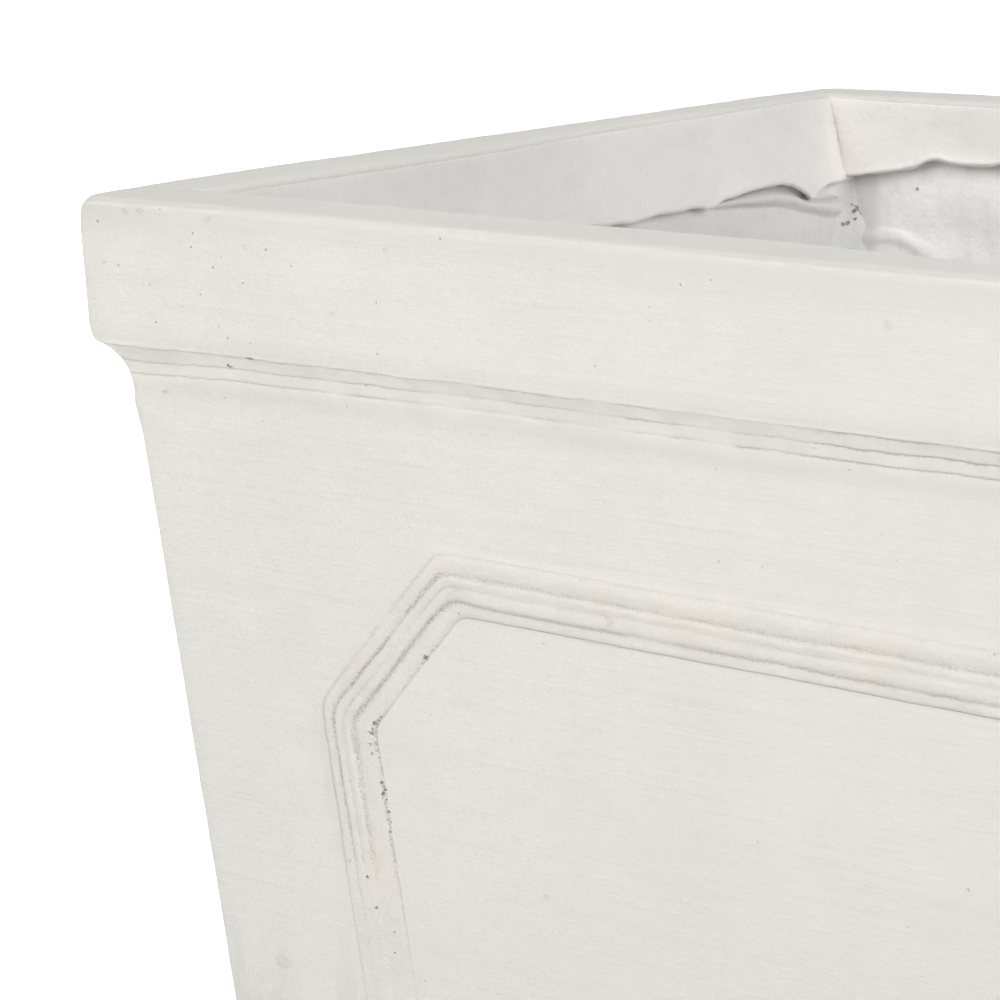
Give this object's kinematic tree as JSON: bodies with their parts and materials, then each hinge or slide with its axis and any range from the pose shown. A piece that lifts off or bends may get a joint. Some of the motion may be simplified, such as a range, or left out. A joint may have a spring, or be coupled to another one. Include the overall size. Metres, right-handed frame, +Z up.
{
  "type": "planter",
  "caption": "Square tapered cast-stone planter with a deep rim band, a stepped cove, cut-corner panel mouldings on each side and a removable drain plug.",
  "frame": {"origin": "centre of the underside, on the surface the planter stands on", "axes": "+Z up through the open mouth; the front face looks along -Y"},
  "size_m": [0.4996, 0.4996, 0.48],
  "materials": {
    "cast_stone": "matt off-white cast face with faint brush streaks, small air holes and pale grey-green dirt in the grooves",
    "lining_stone": "matt off-white, trowelled smooth, torn lower edge",
    "fibre_stone": "rough grey-white, hand pressed and streaked",
    "stone_paste": "rough grey-white, lumpy",
    "glass_mat": "chopped glass strands set in the paste",
    "rubber": "matt black moulded rubber"
  },
  "bodies": {
    "planter": {"face_coat": "cast_stone", "rim_core_front": "stone_paste", "rim_core_right": "stone_paste", "rim_core_back": "stone_paste", "rim_core_left": "stone_paste", "mat_front": "glass_mat", "mat_right": "glass_mat", "mat_back": "glass_mat", "mat_left": "glass_mat", "mat_floor": "glass_mat", "wall_front": "fibre_stone", "wall_right": "fibre_stone", "wall_back": "fibre_stone", "wall_left": "fibre_stone", "floor_slab": "fibre_stone", "corner_fillet_front_left": "stone_paste", "corner_fillet_front_right": "stone_paste", "corner_fillet_back_right": "stone_paste", "corner_fillet_back_left": "stone_paste", "rim_lining_front": "lining_stone", "rim_lining_right": "lining_stone", "rim_lining_back": "lining_stone", "rim_lining_left": "lining_stone"},
    "plug": {"drain_plug": "rubber"}
  },
  "joints": [
    {"name": "plug_lift", "type": "slide", "parent": "planter", "child": "plug", "axis": [0, 0, 1], "range_m": [0, 0.5]}
  ]
}
